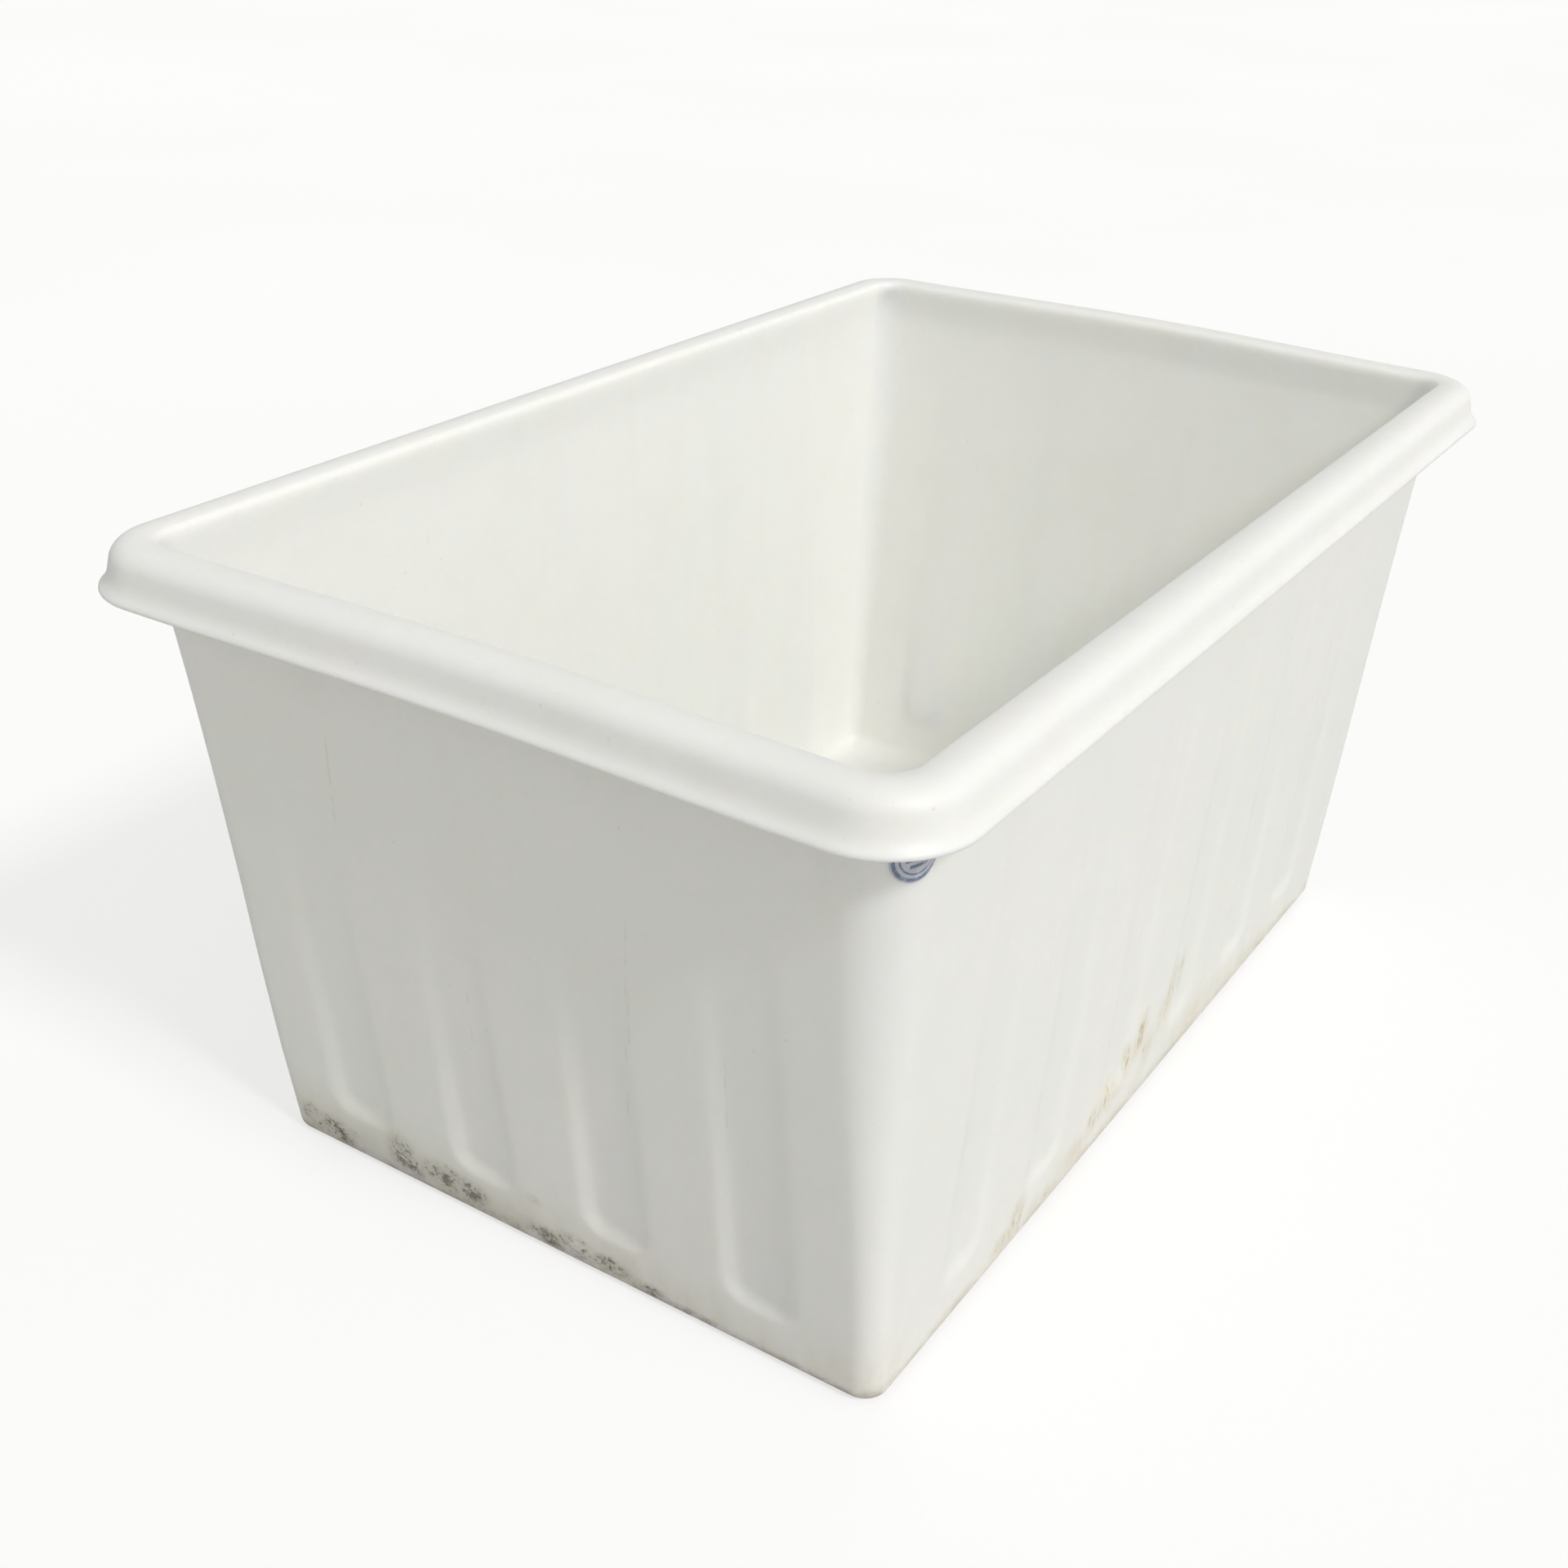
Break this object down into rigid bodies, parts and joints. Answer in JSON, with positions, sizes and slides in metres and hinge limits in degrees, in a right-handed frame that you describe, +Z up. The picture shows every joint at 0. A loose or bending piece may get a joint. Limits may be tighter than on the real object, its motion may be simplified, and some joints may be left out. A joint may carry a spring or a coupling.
{
  "type": "mortar mixing tub",
  "caption": "Large open rectangular tub with leaning fluted walls, rounded corners and a rolled, down-turned rim, for mixing and carrying mortar.",
  "frame": {"origin": "centre of the underside, on the surface that the tub stands on", "axes": "+Z up, +X along the long sides towards the right end, +Y from the front side to the rear side"},
  "size_m": [1.3, 0.81, 0.63],
  "materials": {
    "tub_plastic": "natural white rotomoulded polyethylene, satin, slightly translucent, with fine mould texture, faint scratches and mortar grime low down",
    "rim_plastic": "the same natural white polyethylene on the rolled rim, cleaner and a little smoother",
    "label_film": "blank round sticker, pale with a plain blue border, no text or mark"
  },
  "bodies": {
    "root": {"floor_pan": "tub_plastic", "side_wall_front": "tub_plastic", "side_wall_rear": "tub_plastic", "end_wall_left": "tub_plastic", "end_wall_right": "tub_plastic", "wall_corner_front_left": "tub_plastic", "wall_corner_front_right": "tub_plastic", "wall_corner_rear_left": "tub_plastic", "wall_corner_rear_right": "tub_plastic", "rim_crown_front": "rim_plastic", "rim_crown_rear": "rim_plastic", "rim_crown_left": "rim_plastic", "rim_crown_right": "rim_plastic", "rim_crown_corner_front_left": "rim_plastic", "rim_crown_corner_front_right": "rim_plastic", "rim_crown_corner_rear_left": "rim_plastic", "rim_crown_corner_rear_right": "rim_plastic", "rim_skirt_front": "rim_plastic", "rim_skirt_rear": "rim_plastic", "rim_skirt_left": "rim_plastic", "rim_skirt_right": "rim_plastic", "rim_skirt_corner_front_left": "rim_plastic", "rim_skirt_corner_front_right": "rim_plastic", "rim_skirt_corner_rear_left": "rim_plastic", "rim_skirt_corner_rear_right": "rim_plastic", "round_label": "label_film"}
  },
  "joints": []
}
